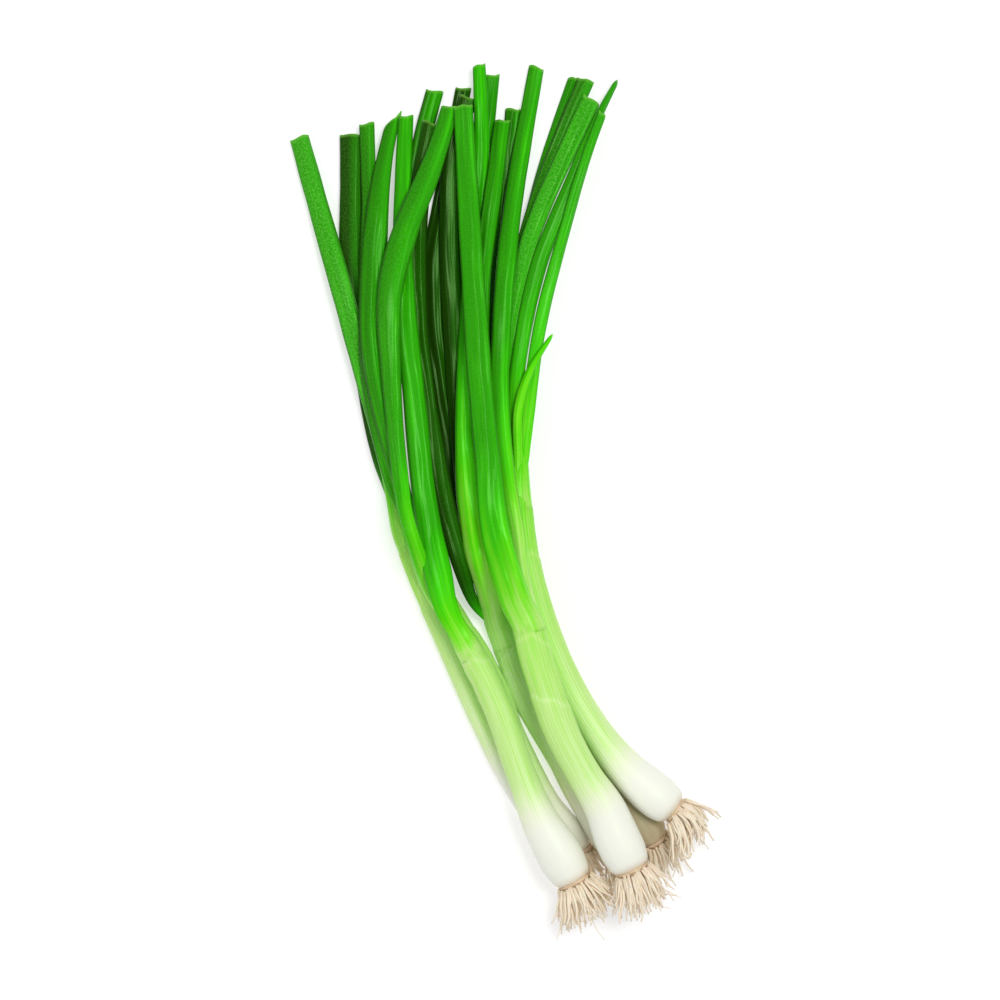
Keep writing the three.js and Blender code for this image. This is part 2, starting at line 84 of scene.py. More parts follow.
# %% [markdown]
# The camera comes first. The bunch was photographed from straight above, with the leaf tips at the top of
# the picture. A long lens keeps the raised onions from growing towards the camera, and its distance is worked
# out so that the picture spans 380 mm at the height of the bunch's middle.

# %% Camera
LENS = 100
SENSOR = 36
PICTURE_SPAN = 380 * MM
MIDDLE_HEIGHT = 12 * MM
PICTURE_CENTRE = (-0.0005, -0.0036)

camera_data = bpy.data.cameras.new("camera")
camera_data.lens = LENS
camera_data.sensor_width = SENSOR
camera = bpy.data.objects.new("camera", camera_data)
camera.location = (*PICTURE_CENTRE, MIDDLE_HEIGHT + PICTURE_SPAN * LENS / SENSOR)
bpy.context.scene.collection.objects.link(camera)
bpy.context.scene.camera = camera
print("camera height in metres:", round(camera.location.z, 3))

# %% [markdown]
# Each strand's solid is a row of rings, closed at both ends by a fan of triangles round one point. The
# mesh arrives as loose triangles, so its corners are welded first. Then the rings are found by walking
# outwards from the fan point at the root end: the points one edge away are the first ring, those two
# edges away the second, and so on. A leaf's bore adds rings of its own at the end, which are left out.

# %% Read the sections of a strand
SHANK_SIDES = 12
LEAF_SIDES = 8
BORE_RINGS = 2
POINTED_LEAVES = ("onion_c_leaf_1", "onion_c_leaf_3")
ONION_LETTERS = "abcdefg"


def welded_mesh(node):
    """The node's corners, each once, and its edges as pairs of corner numbers."""
    mesh = frame["nodes"][node].data
    corners = np.zeros(len(mesh.vertices) * 3)
    mesh.vertices.foreach_get("co", corners)
    triangles = np.zeros(len(mesh.polygons) * 3, dtype=int)
    mesh.polygons.foreach_get("vertices", triangles)
    _, first, merged = np.unique(
        np.round(corners.reshape(-1, 3) * 1e6), axis=0, return_index=True, return_inverse=True)
    triangles = merged.ravel()[triangles.reshape(-1, 3)]
    edges = np.concatenate([triangles[:, [0, 1]], triangles[:, [1, 2]], triangles[:, [2, 0]]])
    return corners.reshape(-1, 3)[first], np.unique(np.sort(edges, axis=1), axis=0)


def read_rings(node, sides):
    """The rings of a strand, as an array of rings by corners by x, y, z, from its root end on.

    The starting point is the fan point nearest the roots: it has as many edges as the strand has sides,
    and the lowest y. A ring is the set of corners that lie one more edge away than the last.
    """
    corners, edges = welded_mesh(node)
    edge_count = np.bincount(edges.ravel(), minlength=len(corners))
    fan_points = np.flatnonzero(edge_count == sides)
    start = fan_points[np.argmin(corners[fan_points, 1])]
    steps = np.full(len(corners), -1)
    steps[start] = 0
    rings = []
    for step in range(1, len(corners)):
        reached = np.concatenate([
            edges[steps[edges[:, 0]] == step - 1, 1],
            edges[steps[edges[:, 1]] == step - 1, 0]])
        ring = np.unique(reached[steps[reached] < 0])
        if len(ring) != sides:
            break
        steps[ring] = step
        rings.append(corners[ring])
    return np.array(rings)


def read_strand(node, sides, bore_rings):
    """Centre, half width and half height of each section of a strand.

    The corners stand half a step away from the widest and the highest point of the section, so both
    half sizes are the corners' reach divided by the cosine of half a step.
    """
    rings = read_rings(node, sides)
    rings = rings[:len(rings) - bore_rings]
    top = rings[:, :, 2].max(axis=1)
    bottom = rings[:, :, 2].min(axis=1)
    centres = rings.mean(axis=1)
    reach = np.linalg.norm(rings[:, :, :2] - centres[:, None, :2], axis=2).max(axis=1)
    half_step = math.cos(math.pi / sides)
    return {"centre": centres, "half_width": reach / half_step,
            "half_height": (top - bottom) / 2 / half_step}


shank_strands = {letter: read_strand(f"onion_{letter}_shank", SHANK_SIDES, 0) for letter in ONION_LETTERS}
leaf_strands = {
    name: read_strand(name, LEAF_SIDES, 0 if name in POINTED_LEAVES else BORE_RINGS)
    for name in sorted(frame["nodes"]) if "_leaf_" in name}
print("sections of each shank:", {letter: len(strand["centre"]) for letter, strand in shank_strands.items()})
print("sections of each leaf:", {name: len(strand["centre"]) for name, strand in leaf_strands.items()})

# %% [markdown]
# A strand's sections stand 13 to 15 mm apart, too far for a skin with veins and dents. They are read off
# again about every millimetre from a smooth curve through them, and each new section gets a direction along
# the strand, one to its side and one upwards.

# %% Smooth strands
def smooth_read(knots, values, at):
    """Values read off a smooth curve through the knots.

    Between two knots the curve is the cubic that has the knots' values and, at each, the slope from the
    knot before to the knot after.
    """
    slopes = np.gradient(values, knots, axis=0)
    first = np.clip(np.searchsorted(knots, at) - 1, 0, len(knots) - 2)
    width = knots[first + 1] - knots[first]
    share = (at - knots[first]) / width
    shape = (-1,) + (1,) * (values.ndim - 1)
    share, width = share.reshape(shape), width.reshape(shape)
    start, end = values[first], values[first + 1]
    start_slope, end_slope = slopes[first] * width, slopes[first + 1] * width
    return ((1 + 2 * share) * (1 - share) ** 2 * start + share * (1 - share) ** 2 * start_slope
            + share ** 2 * (3 - 2 * share) * end - share ** 2 * (1 - share) * end_slope)


def distances(points):
    """How far along the strand each point lies."""
    return np.concatenate([[0], np.cumsum(np.linalg.norm(np.diff(points, axis=0), axis=1))])


def with_directions(sections):
    """Adds each section's direction along the strand, to its side (level) and upwards (square to both)."""
    along = np.gradient(sections["centre"], axis=0)
    along /= np.linalg.norm(along, axis=1, keepdims=True)
    side = np.stack([along[:, 1], -along[:, 0], np.zeros(len(along))], axis=1)
    side /= np.linalg.norm(side, axis=1, keepdims=True)
    return {**sections, "along": along, "side": side, "up": np.cross(side, along),
            "walked": distances(sections["centre"])}


def resample(strand, spacing):
    """The strand's sections, evenly spaced on the smooth curve through its own."""
    knots = distances(strand["centre"])
    at = np.linspace(0, knots[-1], max(2, round(knots[-1] / spacing)))
    return with_directions({key: smooth_read(knots, strand[key], at)
                            for key in ("centre", "half_width", "half_height")})


print("distance between sections of shank a as read:",
      np.round(distances(shank_strands["a"]["centre"]), 3).tolist())

# %% [markdown]
# Two small functions shape everything that follows. One fades a value in or out smoothly. The other makes a
# wandering line, so that widths, ridges and ribs drift to and fro along a strand as they do in a plant.

# %% Fading and wandering
WAVE_COUNT = 4
WAVE_SHORTENING = 1.7
WAVE_WEAKENING = 1.6
WAVE_STRETCH = (0.8, 1.3)


def ease(value, start, end):
    """0 before start, 1 after end, and a smooth S between them."""
    share = np.clip((value - start) / (end - start), 0, 1)
    return share * share * (3 - 2 * share)


def waves(length, seed, size):
    """A smooth wandering line: a few sine waves of random phase, each shorter and weaker than the last.

    length holds distances in metres, and size is how long the longest wave is.
    """
    draw = np.random.default_rng(seed)
    total = np.zeros_like(length)
    for octave in range(WAVE_COUNT):
        phase = draw.uniform(0, 2 * math.pi)
        stretch = draw.uniform(*WAVE_STRETCH)
        turns = 2 * math.pi * length * stretch * WAVE_SHORTENING ** octave / size
        total += np.sin(turns + phase) / WAVE_WEAKENING ** octave
    return total / 2


print("halfway through its rise, ease gives", ease(0.5, 0, 1))

# %% [markdown]
# Every skin is a grid: rows along the strand and columns round it. The grid goes into the mesh as whole
# arrays. The last column joins the first again, and a fan of triangles closes each end, so that no skin
# has a hole. The UV map is in tenths of a metre, across and along, so that veins have a true size, and named
# values at the corners tell the material how green or how old the skin is there.

# %% Grid to mesh
UV_PER_METRE = 10


def tube_faces(rows, columns):
    """The faces of a closed tube: quads as rows and columns of their corners, and two fans of triangles."""
    row, column = np.meshgrid(np.arange(rows - 1), np.arange(columns), indexing="ij")
    row, column = row.ravel(), column.ravel()
    corner_rows = np.stack([row, row + 1, row + 1, row], axis=1)
    corner_columns = np.stack([column, column, column + 1, column + 1], axis=1)
    around = np.arange(columns)
    after = (around + 1) % columns
    first_fan, last_fan = rows * columns, rows * columns + 1
    last_row = (rows - 1) * columns
    start_fan = np.stack([np.full(columns, first_fan), around, after], axis=1)
    end_fan = np.stack([np.full(columns, last_fan), last_row + after, last_row + around], axis=1)
    return corner_rows, corner_columns, start_fan, end_fan


def tube_mesh(name, grid, values, walked, girth):
    """A closed tube from a grid of rows by columns by x, y, z.

    values: named numbers for each corner, as arrays of rows by columns. walked: each row's distance along the
    strand. girth: how long the way round is, for the UV map. Corners run row by row. The two fan points come
    last.
    """
    rows, columns = grid.shape[:2]
    corner_rows, corner_columns, start_fan, end_fan = tube_faces(rows, columns)
    quads = corner_rows * columns + corner_columns % columns
    points = np.concatenate([grid.reshape(-1, 3), [grid[0].mean(axis=0)], [grid[-1].mean(axis=0)]])
    loops = np.concatenate([quads.ravel(), start_fan.ravel(), end_fan.ravel()])
    starts = np.concatenate([np.arange(len(quads)) * 4, len(quads) * 4 + np.arange(2 * columns) * 3])

    mesh = bpy.data.meshes.new(name)
    mesh.vertices.add(len(points))
    mesh.vertices.foreach_set("co", points.ravel())
    mesh.loops.add(len(loops))
    mesh.loops.foreach_set("vertex_index", loops)
    mesh.polygons.add(len(starts))
    mesh.polygons.foreach_set("loop_start", starts)
    mesh.polygons.foreach_set("use_smooth", np.ones(len(starts), dtype=bool))
    mesh.update(calc_edges=True)

    around = np.arange(columns)
    fan_columns = np.tile(np.stack([around, around, around + 1], axis=1).ravel(), 2)
    across = np.concatenate([corner_columns.ravel(), fan_columns]) / columns * girth * UV_PER_METRE
    lengthwise = np.concatenate([walked[corner_rows.ravel()], np.repeat(walked[[0, -1]], 3 * columns)])
    uv = np.stack([across, lengthwise * UV_PER_METRE], axis=1)
    mesh.uv_layers.new(name="skin").data.foreach_set("uv", uv.ravel())
    for value_name, value in values.items():
        value = np.broadcast_to(value, (rows, columns))
        layer = mesh.attributes.new(value_name, "FLOAT", "POINT")
        layer.data.foreach_set("value", np.concatenate(
            [value.ravel(), [value[0].mean(), value[-1].mean()]]).astype(np.float32))
    return mesh


def place_piece(name, mesh, material, node):
    """Puts a mesh in the scene as the piece that stands for a CAD node, riding on the bunch."""
    mesh.materials.append(material)
    piece = bpy.data.objects.new(name, mesh)
    bpy.context.scene.collection.objects.link(piece)
    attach(piece, "root")
    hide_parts(node)
    return piece


def sweep(sections, across, upwards):
    """Points of a grid whose row r lies in section r: centre + side * across + up * upwards."""
    return (sections["centre"][:, None] + sections["side"][:, None] * across[..., None]
            + sections["up"][:, None] * upwards[..., None])


def round_angles(columns):
    """The angle of each column, evenly round a full turn."""
    return np.arange(columns) * 2 * math.pi / columns


print("faces of a tube of 10 rows and 8 columns:", sum(len(faces) for faces in tube_faces(10, 8)[1:]))

# %% [markdown]
# The materials are made of nodes. These helpers add one node each and link it, so that a material reads like
# a sum.

# %% Material helpers
def new_material(name):
    """An empty material and its node tree, with the output linked to a fresh surface shader."""
    material = bpy.data.materials.new(name)
    material.use_nodes = True
    tree = material.node_tree
    tree.nodes.clear()
    shader = tree.nodes.new("ShaderNodeBsdfPrincipled")
    output = tree.nodes.new("ShaderNodeOutputMaterial")
    tree.links.new(shader.outputs["BSDF"], output.inputs["Surface"])
    return material, tree, shader


def add_node(tree, kind, inputs, **settings):
    """A node with its settings, and each named input either a value or a link to another node's output."""
    node = tree.nodes.new(kind)
    for key, value in settings.items():
        setattr(node, key, value)
    for key, value in inputs.items():
        if isinstance(value, bpy.types.NodeSocket):
            tree.links.new(value, node.inputs[key])
        else:
            node.inputs[key].default_value = value
    return node


def corner_value(tree, name):
    """The named corner value, as an output to link."""
    return add_node(tree, "ShaderNodeAttribute", {}, attribute_name=name).outputs["Fac"]


def calculate(tree, operation, first, second, clamp=False):
    """A sum, product or other operation on two numbers or outputs."""
    node = add_node(tree, "ShaderNodeMath", {0: first, 1: second}, operation=operation, use_clamp=clamp)
    return node.outputs[0]


def map_range(tree, value, **limits):
    """The value, carried over from one range to another."""
    inputs = {"Value": value, **{key.replace("_", " "): limit for key, limit in limits.items()}}
    return add_node(tree, "ShaderNodeMapRange", inputs).outputs["Result"]


def blend_colours(tree, share, first, second):
    """A colour between two, as far as share says."""
    node = tree.nodes.new("ShaderNodeMix")
    node.data_type = "RGBA"
    for socket, value in ((node.inputs["Factor"], share), (node.inputs[6], first), (node.inputs[7], second)):
        if isinstance(value, bpy.types.NodeSocket):
            tree.links.new(value, socket)
        else:
            socket.default_value = value
    return node.outputs[2]


def stretched_noise(tree, across, lengthwise, detail=2.0):
    """Noise on the UV map with grains of this size in metres, across and along the strand."""
    uv = add_node(tree, "ShaderNodeUVMap", {}, uv_map="skin").outputs["UV"]
    scale = (1 / UV_PER_METRE / across, 1 / UV_PER_METRE / lengthwise, 1.0)
    mapped = add_node(tree, "ShaderNodeMapping", {"Vector": uv, "Scale": scale}).outputs["Vector"]
    noise = add_node(tree, "ShaderNodeTexNoise", {"Vector": mapped, "Scale": 1.0, "Detail": detail})
    return noise.outputs["Fac"]


def colour_ramp(tree, share, stops):
    """A ramp through (place, colour) stops."""
    ramp = add_node(tree, "ShaderNodeValToRGB", {"Fac": share})
    elements = ramp.color_ramp.elements
    while len(elements) < len(stops):
        elements.new(0.5)
    for element, (place, colour) in zip(elements, stops):
        element.position = place
        element.color = (*colour, 1)
    return ramp.outputs["Color"]


def add_relief(tree, shader, heights, strength, distance):
    """A bump that follows the heights."""
    relief = add_node(tree, "ShaderNodeBump", {"Height": heights, "Strength": strength, "Distance": distance})
    tree.links.new(relief.outputs["Normal"], shader.inputs["Normal"])


print("scale of a noise grain of 1 mm:", round(1 / UV_PER_METRE / MM))

# %% [markdown]
# An onion's colour is one long ramp. The bulb never saw the sun and is white. The shank turns pale green, the
# fork is the fresh yellow-green of the newest growth, and the leaf is deep green. A corner value called
# ripeness says how far along the ramp the skin is. Fine lengthwise lines, greener and paler by turns, come
# from noise on the UV map that is stretched along the strand, and a little bump follows them. A second corner
# value darkens the skin, partly for how old a leaf is and partly as painted shade: on leaves that lie low in
# the heap, on one face of each leaf and along its edges. Speckles lighten the skin, the bulbs underneath turn
# brown in patches, and the root end and the cut ends have colours of their own. The inner skin of a shank's
# lip and of a hollow leaf end is painted dark as shade.

# %% Skin of shanks and leaves
RIPENESS_COLOURS = [
    (0.00, (0.93, 0.94, 0.84)),
    (0.14, (0.87, 0.93, 0.68)),
    (0.28, (0.68, 0.92, 0.40)),
    (0.40, (0.52, 0.85, 0.22)),
    (0.50, (0.37, 0.83, 0.11)),
    (0.60, (0.20, 0.80, 0.02)),
    (0.70, (0.10, 0.74, 0.002)),
    (0.82, (0.050, 0.68, 0.001)),
    (1.00, (0.026, 0.43, 0.001)),
]
# Dark green for old leaves, and for painted shade on leaves, on their faces and along their edges.
OLD_AND_SHADED_GREEN = (0.011, 0.055, 0.001, 1)
CUT_GREEN = (0.28, 0.78, 0.09, 1)
# Painted shade: near-black green for the inner skin of a shank's lip and of a hollow leaf end.
PAINTED_INSIDE_SHADE = (0.010, 0.07, 0.002, 1)
SPECKLE_GREEN = (0.16, 0.62, 0.07, 1)
BULB_BROWN = (0.34, 0.24, 0.06, 1)
ROOT_END_BEIGE = (0.76, 0.54, 0.34, 1)

# Grains of the noise in metres, across and along the strand.
LINE_GRAIN = (0.0008, 0.08)
BROAD_GRAIN = (0.003, 0.03)
SPECKLE_GRAIN = (0.0005, 0.0008)
SPECKLE_DETAIL = 4.0

SHINE = 0.17
SHINE_TINT = (0.45, 1.0, 0.3, 1)
SKIN_BUMP_DISTANCE = 0.4 * MM
BROAD_BUMP = 1.5
SKIN_LIGHT_REACH = 2 * MM
SKIN_LIGHT_COLOURS = (1.0, 1.0, 0.5)
SKIN_VALUES = ("ripeness", "age", "speckle", "dry", "root_end", "inside", "cut")


def skin_values(**given):
    """Every corner value that the skin material reads, 0 where none is given."""
    return {key: given.get(key, np.zeros((1, 1))) for key in SKIN_VALUES}


def skin_ripeness(tree, lines, broad, line_strength):
    """Ripeness, shifted by both kinds of lines, except on the white bulb, where nothing is green yet."""
    line_shift = calculate(tree, "MULTIPLY", calculate(tree, "SUBTRACT", lines, 0.5), line_strength)
    broad_shift = calculate(tree, "MULTIPLY", calculate(tree, "SUBTRACT", broad, 0.5), line_strength)
    green_part = calculate(tree, "MULTIPLY", corner_value(tree, "ripeness"), 4.0, clamp=True)
    shift = calculate(tree, "MULTIPLY", calculate(tree, "ADD", line_shift, broad_shift), green_part)
    return calculate(tree, "ADD", corner_value(tree, "ripeness"), shift, clamp=True)


def skin_colour(tree, lines, broad, line_strength):
    """The ramp's colour by ripeness, then one layer for each of the other corner values."""
    colour = colour_ramp(tree, skin_ripeness(tree, lines, broad, line_strength), RIPENESS_COLOURS)
    # Darker towards the old green, by how old the leaf is and by the painted shade on it.
    colour = blend_colours(tree, corner_value(tree, "age"), colour, OLD_AND_SHADED_GREEN)
    fine = stretched_noise(tree, *SPECKLE_GRAIN, SPECKLE_DETAIL)
    mottle = map_range(tree, fine, From_Min=0.4, From_Max=0.9)
    speckles = calculate(tree, "MULTIPLY", mottle, corner_value(tree, "speckle"))
    colour = blend_colours(tree, speckles, colour, SPECKLE_GREEN)
    patches = map_range(tree, broad, To_Min=0.7, To_Max=1.2)
    dry = calculate(tree, "MULTIPLY", patches, corner_value(tree, "dry"), clamp=True)
    colour = blend_colours(tree, dry, colour, BULB_BROWN)
    stain = calculate(tree, "MULTIPLY", corner_value(tree, "root_end"), broad, clamp=True)
    colour = blend_colours(tree, stain, colour, ROOT_END_BEIGE)
    # Painted shade inside the lip and down the hollow leaf ends.
    colour = blend_colours(tree, corner_value(tree, "inside"), colour, PAINTED_INSIDE_SHADE)
    return blend_colours(tree, corner_value(tree, "cut"), colour, CUT_GREEN)


def skin_material(name, line_strength, roughness, bump, translucency):
    """Onion skin: its colour, a gloss that varies a little, a bump along the lines, and light passing in."""
    material, tree, shader = new_material(name)
    lines = stretched_noise(tree, *LINE_GRAIN)
    broad = stretched_noise(tree, *BROAD_GRAIN)
    tree.links.new(skin_colour(tree, lines, broad, line_strength), shader.inputs["Base Color"])
    gloss = map_range(tree, broad, To_Min=roughness - 0.06, To_Max=roughness + 0.08)
    tree.links.new(gloss, shader.inputs["Roughness"])
    shader.inputs["Specular IOR Level"].default_value = SHINE
    shader.inputs["Specular Tint"].default_value = SHINE_TINT
    heights = calculate(tree, "ADD", lines, calculate(tree, "MULTIPLY", broad, BROAD_BUMP))
    add_relief(tree, shader, heights, bump, SKIN_BUMP_DISTANCE)
    shader.inputs["Subsurface Weight"].default_value = translucency
    shader.inputs["Subsurface Radius"].default_value = SKIN_LIGHT_COLOURS
    shader.inputs["Subsurface Scale"].default_value = SKIN_LIGHT_REACH
    return material


shank_skin = skin_material("shank_skin", line_strength=0.22, roughness=0.30, bump=0.4, translucency=0.12)
leaf_skin = skin_material("leaf_skin", line_strength=0.42, roughness=0.24, bump=0.5, translucency=0.0)
print("skin materials:", shank_skin.name, leaf_skin.name)

# %% [markdown]
# A shank is a stack of leaf sheaths rolled round each other, and its skin shows it: it is ribbed by the
# veins of the outermost sheath, and it ends in a slanting lip where the leaves come out. These tables say
# what each of the seven looks like.

# %% How each shank looks
# How ripe the skin is just above the white bulb, and at the mouth, and how far from the root plate the white
# ends. Shank e's two values are set paler, as painted light on a shank that lies in shade. The bulbs
# underneath turn brown in patches near the root end.
LOW_RIPENESS = {"a": 0.32, "b": 0.34, "c": 0.28, "d": 0.34, "e": 0.27, "f": 0.22, "g": 0.26}
MOUTH_RIPENESS = {"a": 0.43, "b": 0.48, "c": 0.56, "d": 0.60, "e": 0.37, "f": 0.48, "g": 0.50}
WHITE_LENGTH = {"a": 0.028, "b": 0.026, "c": 0.024, "d": 0.020, "e": 0.022, "f": 0.022, "g": 0.022}
# How brown shanks d, e and g turn in patches over their bulbs, near the root end.
BROWNING_NEAR_BULB = {"d": 0.75, "e": 0.25, "g": 0.15}

# Where an outer sheath layer ends: share of the shank's length, how far its edge slants, and which way.
LAYER_EDGES = {
    "a": [(0.93, 0.003, 2.4)], "b": [(0.905, 0.0045, 2.0), (0.70, 0.004, 3.0)], "c": [(0.80, 0.006, 1.0)],
    "d": [(0.85, 0.006, 1.2)], "e": [(0.93, 0.003, 0.6), (0.78, 0.008, 2.6)], "f": [(0.82, 0.008, 0.8)],
    "g": [(0.86, 0.006, 1.8)]}

# Shanks that are fuller than their solid: how much wider, how far to the side, and from where to where past
# the root plate.
FULLER_SHANKS = {
    "b": (0.05, -0.9 * MM, 0.045, 0.140), "e": (0.14, -0.9 * MM, 0.010, 0.120),
    "g": (0.00, -2.0 * MM, 0.004, 0.070)}
AS_THE_SOLID = (0, 0, 0, 1)

print("sheath edges on the shanks:", sum(len(edges) for edges in LAYER_EDGES.values()))

# %% [markdown]
# The skin follows the solid's sections. Round each one, the radius is raised a little on every rib and below
# every sheath edge, and drawn in at the shoulder by the root plate.

# %% Shanks
SHANK_ROW_SPACING = 0.9 * MM
RIBS = 30
SHANK_COLUMNS = 4 * RIBS
RIB_HEIGHT = 0.06 * MM
RIB_GREEN = 0.05
RIB_FADE = (0.010, 0.035)
SWELLING = 0.12 * MM
LIP_LENGTH = 5 * MM
LIP_THICKNESS = 0.3 * MM
LIP_LEAD = (1.6 * MM, 0.5 * MM)
LIP_SHADE = 0.12
MOUTH_TAPER = 0.2 * MM
LAYER_THICKNESS = 0.28 * MM
LAYER_FADE = (0.03, 0.06)
LAYER_EDGE_WAVE = 0.6 * MM
LAYER_EDGE_PALENESS = 0.06
LAYER_PALENESS = 0.02
SHOULDER_SHARE = 0.14
RIM_ROUNDING = 0.8 * MM
STAIN = 0.8
FLOOR_CLEARANCE = 0.02 * MM


def shank_ripeness(letter, walked, length):
    """0 on the bulb, a quick rise where the white ends, and a slow one from there to the mouth."""
    white = WHITE_LENGTH[letter]
    first = LOW_RIPENESS[letter] * ease(walked, white - 0.010, white + 0.016)
    past_white = np.clip((walked - white) / (length - white), 0, 1)
    return first + (MOUTH_RIPENESS[letter] - LOW_RIPENESS[letter]) * past_white


def fuller(sections, share, wider, sideways):
    """Makes sections wider and moves them to the side, each section as far as its share says."""
    sections["half_width"] = sections["half_width"] * (1 + wider * share)
    sections["centre"] = sections["centre"] + sideways * share[:, None] * sections["side"]
    return sections


def shank_sections(letter):
    """A shank's sections, wider and further to the side over the stretch where FULLER_SHANKS says so."""
    sections = resample(shank_strands[letter], SHANK_ROW_SPACING)
    wider, sideways, start, end = FULLER_SHANKS.get(letter, AS_THE_SOLID)
    walked = sections["walked"]
    share = ease(walked, start, start + 0.02) * (1 - ease(walked, end - 0.02, end))
    return fuller(sections, share, wider, sideways)


def shank_surface(letter, seed, sections, angle):
    """How far the skin stands off a shank's sections, and how ripe it is, both as rows by columns.

    The distance is the sum of ribs, a slow swelling and the thickness of each outer layer below its slanting
    edge, less a taper at the mouth and a rounding at the root plate.
    """
    walked = sections["walked"]
    length = walked[-1]
    rib_fade = ease(walked, *RIB_FADE)[:, None]
    rib_wave = np.cos(RIBS * angle + 0.5 * waves(walked, seed, 0.08)[:, None])
    rib_strength = 0.6 + 0.4 * np.cos(3 * angle + seed) * np.cos(5 * angle)
    extra = RIB_HEIGHT * rib_fade * rib_wave
    extra = extra + SWELLING * waves(walked, seed + 1, 0.03)[:, None] * np.cos(angle - seed)
    rib_green = RIB_GREEN * rib_fade * rib_wave * rib_strength
    ripeness = shank_ripeness(letter, walked, length)[:, None] - rib_green
    layer_fade = ease(walked, *LAYER_FADE)[:, None]
    for share, slant, turn in LAYER_EDGES[letter]:
        edge = share * length + slant * np.cos(angle - turn) + LAYER_EDGE_WAVE * np.sin(5 * angle + seed)
        past_edge = walked[:, None] - edge
        extra = extra + LAYER_THICKNESS * (ease(-past_edge, -0.4 * MM, 0.5 * MM) - 0.5) * layer_fade
        ripeness = ripeness - LAYER_EDGE_PALENESS * np.exp(-(past_edge / (0.9 * MM)) ** 2)
        ripeness = ripeness - LAYER_PALENESS * (past_edge < 0)
    shoulder = sections["half_width"].max() * SHOULDER_SHARE * (1 - ease(walked, -4 * MM, 9 * MM))
    rim = RIM_ROUNDING * (1 - ease(walked, -1 * MM, 1.6 * MM))
    taper = MOUTH_TAPER * ease(walked, length - 2.5 * MM, length)
    return extra - taper[:, None] - (shoulder + rim)[:, None], ripeness


def make_shank(letter, seed):
    """A shank's skin: centre + side * (w + t) * cos(a) + up * (h + t) * sin(a), where a goes round the
    section and t is how far the skin stands off it. The mouth runs up to a slanting edge. Past it the rows
    turn back inside, so that the lip has a thickness."""
    sections = shank_sections(letter)
    walked = sections["walked"]
    length = walked[-1]
    angle = round_angles(SHANK_COLUMNS)
    extra, ripeness = shank_surface(letter, seed, sections, angle)
    across = (sections["half_width"][:, None] + extra) * np.cos(angle)
    upwards = (sections["half_height"][:, None] + extra) * np.sin(angle)
    grid = sweep(sections, across, upwards)
    lead = LIP_LEAD[0] * np.cos(angle - 1.3 * seed) + LIP_LEAD[1] * np.cos(3 * angle + seed)
    near_mouth = ease(walked, length - 0.012, length)[:, None]
    grid = grid + sections["along"][:, None] * (near_mouth * lead)[..., None]

    inner_rows = np.flatnonzero(walked > length - LIP_LENGTH)[::-1]
    rows = np.concatenate([np.arange(len(walked)), inner_rows])
    thinner = 1 - LIP_THICKNESS / sections["half_width"][inner_rows, None, None]
    middle = sections["centre"][inner_rows, None]
    grid = np.concatenate([grid, middle + (grid[inner_rows] - middle) * thinner])
    grid[..., 2] = np.maximum(grid[..., 2], FLOOR_CLEARANCE)

    # Painted shade on the inner rows of the lip, deepening into the mouth.
    lip_shade = LIP_SHADE * ease(length - walked[inner_rows], 0, 0.002)
    inside = np.concatenate([np.zeros(len(walked)), lip_shade])
    dry = BROWNING_NEAR_BULB.get(letter, 0) * (1 - ease(walked, 0.02, 0.06))
    root_end = STAIN * (1 - ease(walked, 0, 0.004))
    values = skin_values(ripeness=np.clip(ripeness[rows], 0, 1), inside=inside[:, None],
                         dry=dry[rows][:, None], root_end=root_end[rows][:, None])
    girth = 2 * math.pi * sections["half_width"].mean()
    mesh = tube_mesh(f"shank_{letter}", grid, values, walked[rows], girth)
    return place_piece(f"shank_{letter}", mesh, shank_skin, f"onion_{letter}_shank")


shanks = {letter: make_shank(letter, index) for index, letter in enumerate(ONION_LETTERS)}
print("faces of each shank:", {letter: len(shank.data.polygons) for letter, shank in shanks.items()})

# %% [markdown]
# A leaf is a long hollow tube, pressed flatter towards its tip, where it was cut straight across. The oldest
# leaf of each onion is the end of the sheath itself, so it starts as wide as the mouth and only then narrows.
# The tables say how ripe, old and speckled each leaf is.

# %% How each leaf looks
# Where each leaf is fully green, in metres past the mouth, how old and dark it is, which for e leaves 1 to 3,
# lying low in the heap, is mostly painted shade (below 0 for one that stays bright), how much it is speckled,
# and how far one edge of its cut leads the other, in metres.
LEAF_LOOKS = {
    "onion_a_leaf_1": (0.040, 0.30, 0.0, 0.0005), "onion_a_leaf_2": (0.050, 0.05, 0.15, 0.0005),
    "onion_b_leaf_1": (0.050, 0.20, 0.1, 0.0003), "onion_b_leaf_2": (0.110, 0.05, 0.2, -0.0005),
    "onion_b_leaf_3": (0.070, 0.10, 0.25, 0.0003),
    "onion_c_leaf_1": (0.090, 0.20, 0.2, 0.0000), "onion_c_leaf_2": (0.110, 0.10, 0.4, -0.0005),
    "onion_c_leaf_3": (0.150, 0.00, 0.0, 0.0000),
    "onion_d_leaf_1": (0.060, 0.25, 0.0, 0.0005), "onion_d_leaf_2": (0.060, 0.30, 0.0, 0.0000),
    "onion_d_leaf_3": (0.060, 0.20, 0.2, 0.0005), "onion_d_leaf_4": (0.060, 0.25, 0.4, 0.0005),
    "onion_d_leaf_5": (0.090, 0.05, 0.9, -0.0005),
    "onion_e_leaf_1": (0.030, 0.88, 0.0, 0.0005), "onion_e_leaf_2": (0.030, 0.80, 0.05, 0.0000),
    "onion_e_leaf_3": (0.020, 0.85, 0.1, -0.0008), "onion_e_leaf_4": (0.130, -0.20, 0.0, 0.0005),
    "onion_f_leaf_1": (0.040, 0.65, 0.2, 0.0000), "onion_f_leaf_2": (0.080, 0.10, 1.0, 0.0003),
    "onion_g_leaf_1": (0.060, 0.25, 0.3, 0.0005), "onion_g_leaf_2": (0.060, 0.10, 0.3, 0.0008),
    "onion_g_leaf_3": (0.070, 0.15, 0.2, 0.0040),
}

